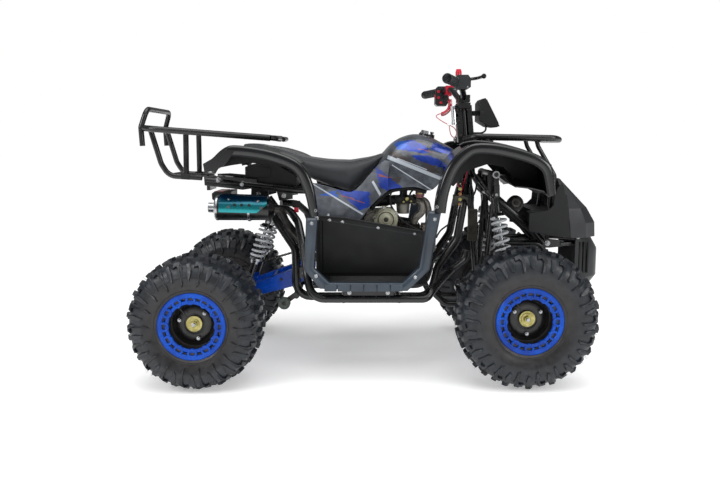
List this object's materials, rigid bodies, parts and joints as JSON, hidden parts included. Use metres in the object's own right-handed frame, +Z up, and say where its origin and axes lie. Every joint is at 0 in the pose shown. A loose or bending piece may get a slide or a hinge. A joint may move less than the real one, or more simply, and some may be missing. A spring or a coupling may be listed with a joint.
{
  "type": "quad bike",
  "caption": "Small petrol quad bike with steel tube frame, racks, moulded fenders, double front wishbones, steering handlebar and a live rear axle on a swingarm.",
  "frame": {"origin": "on the ground, under the middle of the quad's length and width", "axes": "+X forward, +Y to the rider's left, +Z up"},
  "size_m": [1.696, 0.9312, 1.074],
  "materials": {
    "frameBlack": "satin black powder coat",
    "blackPlastic": "black textured plastic",
    "fenderPlastic": "glossy dark graphite plastic",
    "greyPlastic": "slate grey satin plastic",
    "graphicPlastic": "metallic graphite with blue graphics",
    "seatVinyl": "black grained vinyl",
    "rubber": "dark grey rubber",
    "tyreRubber": "dark grey treaded rubber",
    "rimBlack": "satin black pressed steel",
    "blueMetal": "royal blue powder coat",
    "aluminium": "cast aluminium",
    "steel": "bare steel",
    "springWhite": "silver white spring",
    "heatShieldTeal": "teal anodised",
    "redPlastic": "red plastic",
    "ringBlue": "royal blue beadlock ring",
    "decalBlue": "blue decal film",
    "decalSilver": "silver decal film",
    "decalOrange": "orange decal film",
    "chrome": "chrome plate",
    "goldPlate": "gold passivated hub cap",
    "lampLens": "clear lens",
    "amberLens": "amber lens"
  },
  "bodies": {
    "chassis": {"frame_cradle": "frameBlack", "frame_backbone": "frameBlack", "front_subframe": "frameBlack", "engine_block": "aluminium", "engine_cylinder": "aluminium", "carburettor": "aluminium", "exhaust_pipe": "steel", "muffler": "steel", "heat_shield": "heatShieldTeal", "seat": "seatVinyl", "tank_cover": "graphicPlastic", "side_panel_right": "graphicPlastic", "side_panel_left": "graphicPlastic", "front_fender": "fenderPlastic", "rear_fender": "fenderPlastic", "front_fascia": "greyPlastic", "front_rack": "frameBlack", "rear_rack": "frameBlack", "tail_lamp": "redPlastic", "footwell_right": "blackPlastic", "footwell_left": "blackPlastic", "foot_guard_right": "greyPlastic", "foot_guard_left": "greyPlastic", "step_bar_right": "frameBlack", "step_bar_left": "frameBlack", "swingarm": "blueMetal", "drive_chain": "steel", "rear_shock_right": "springWhite", "rear_shock_left": "springWhite", "front_shock_right": "springWhite", "front_shock_left": "springWhite", "front_upper_arm_right": "blueMetal", "front_upper_arm_left": "blueMetal", "front_lower_arm_right": "blueMetal", "front_lower_arm_left": "blueMetal"},
    "steering": {"steering_column": "frameBlack", "handlebar": "rubber", "headlamp_pod": "blackPlastic", "lanyard_coil": "redPlastic", "lanyard_cord": "redPlastic", "lanyard_clip": "redPlastic"},
    "tie_rod_right": {"tie_rod_right": "steel"},
    "tie_rod_left": {"tie_rod_left": "steel"},
    "knuckle_right": {"knuckle_right": "steel"},
    "knuckle_left": {"knuckle_left": "steel"},
    "front_wheel_right": {"front_right_tyre": "tyreRubber", "front_right_rim": "rimBlack"},
    "front_wheel_left": {"front_left_tyre": "tyreRubber", "front_left_rim": "rimBlack"},
    "rear_wheels": {"rear_axle": "steel", "rear_right_tyre": "tyreRubber", "rear_right_rim": "rimBlack", "rear_left_tyre": "tyreRubber", "rear_left_rim": "rimBlack"}
  },
  "joints": [
    {"name": "steering_turn", "type": "hinge", "parent": "chassis", "child": "steering", "pos_m": [0.337, 0, 0.87], "axis": [-0.0958, 0, 0.9954], "range_deg": [-30, 30]},
    {"name": "knuckle_right_turn", "type": "hinge", "parent": "chassis", "child": "knuckle_right", "pos_m": [0.5, -0.255, 0.2413], "axis": [0, 0, 1], "range_deg": [-30, 30]},
    {"name": "tie_rod_right_turn", "type": "hinge", "parent": "steering", "child": "tie_rod_right", "pos_m": [0.318, -0.016, 0.288], "axis": [-0.0958, 0, 0.9954], "range_deg": [-30, 30]},
    {"name": "knuckle_left_turn", "type": "hinge", "parent": "chassis", "child": "knuckle_left", "pos_m": [0.5, 0.255, 0.2413], "axis": [0, 0, 1], "range_deg": [-30, 30]},
    {"name": "tie_rod_left_turn", "type": "hinge", "parent": "steering", "child": "tie_rod_left", "pos_m": [0.318, 0.016, 0.288], "axis": [-0.0958, 0, 0.9954], "range_deg": [-30, 30]},
    {"name": "front_wheel_right_spin", "type": "hinge", "parent": "knuckle_right", "child": "front_wheel_right", "pos_m": [0.5, -0.361, 0.2413], "axis": [0, 1, 0], "continuous": true},
    {"name": "front_wheel_left_spin", "type": "hinge", "parent": "knuckle_left", "child": "front_wheel_left", "pos_m": [0.5, 0.361, 0.2413], "axis": [0, 1, 0], "continuous": true},
    {"name": "rear_wheels_spin", "type": "hinge", "parent": "chassis", "child": "rear_wheels", "pos_m": [-0.61, 0, 0.2286], "axis": [0, 1, 0], "continuous": true}
  ],
  "couplings": [
    {"joint": "knuckle_right_turn", "follows": "steering_turn", "ratio": 1},
    {"joint": "tie_rod_right_turn", "follows": "steering_turn", "ratio": -1},
    {"joint": "knuckle_left_turn", "follows": "steering_turn", "ratio": 1},
    {"joint": "tie_rod_left_turn", "follows": "steering_turn", "ratio": -1}
  ]
}
